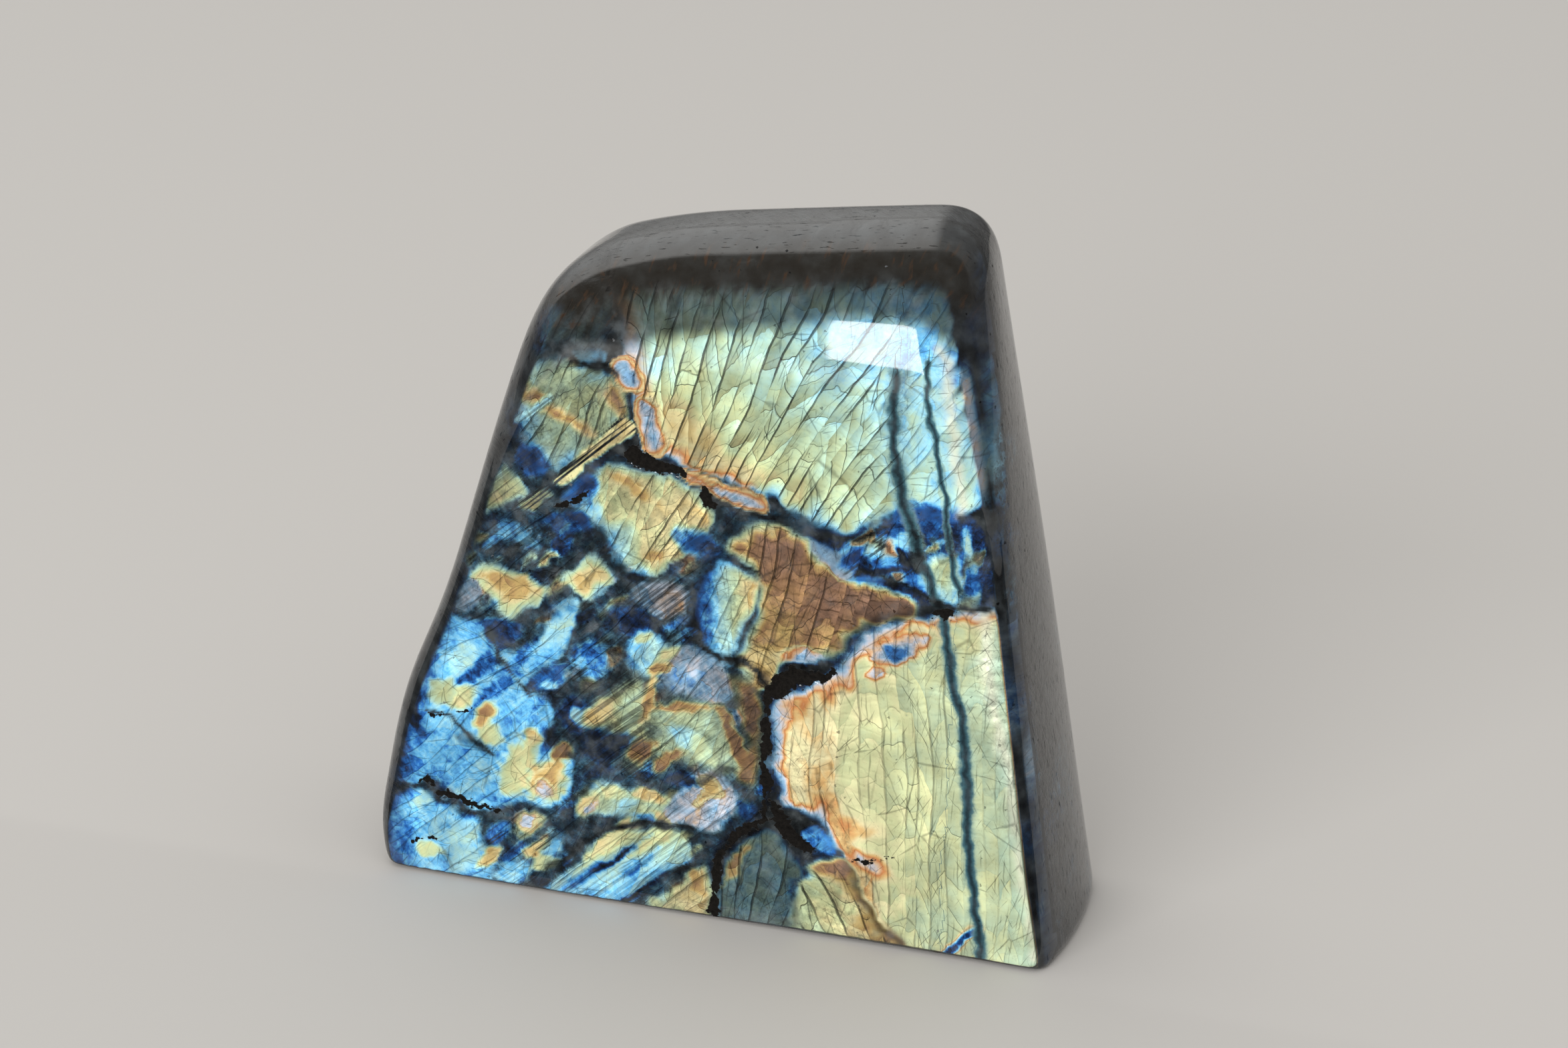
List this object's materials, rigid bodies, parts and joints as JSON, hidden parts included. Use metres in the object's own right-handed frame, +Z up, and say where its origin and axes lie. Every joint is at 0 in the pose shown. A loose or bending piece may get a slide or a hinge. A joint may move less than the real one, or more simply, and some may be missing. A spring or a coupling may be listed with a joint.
{
  "type": "labradorite freeform",
  "caption": "Free-standing polished slab of labradorite with a leaning show face, rounded edges and a flat sawn base.",
  "frame": {"origin": "on the surface that the stone stands on, under the middle of its bounding box", "axes": "+Z up, the show face looks along -Y and leans back, +X to the right of someone looking at it"},
  "size_m": [0.1582, 0.0508, 0.1541],
  "materials": {
    "labradorite": "polished, dark grey body with a blue, green and gold play of colour on the show face"
  },
  "bodies": {
    "root": {"stone": "labradorite"}
  },
  "joints": []
}
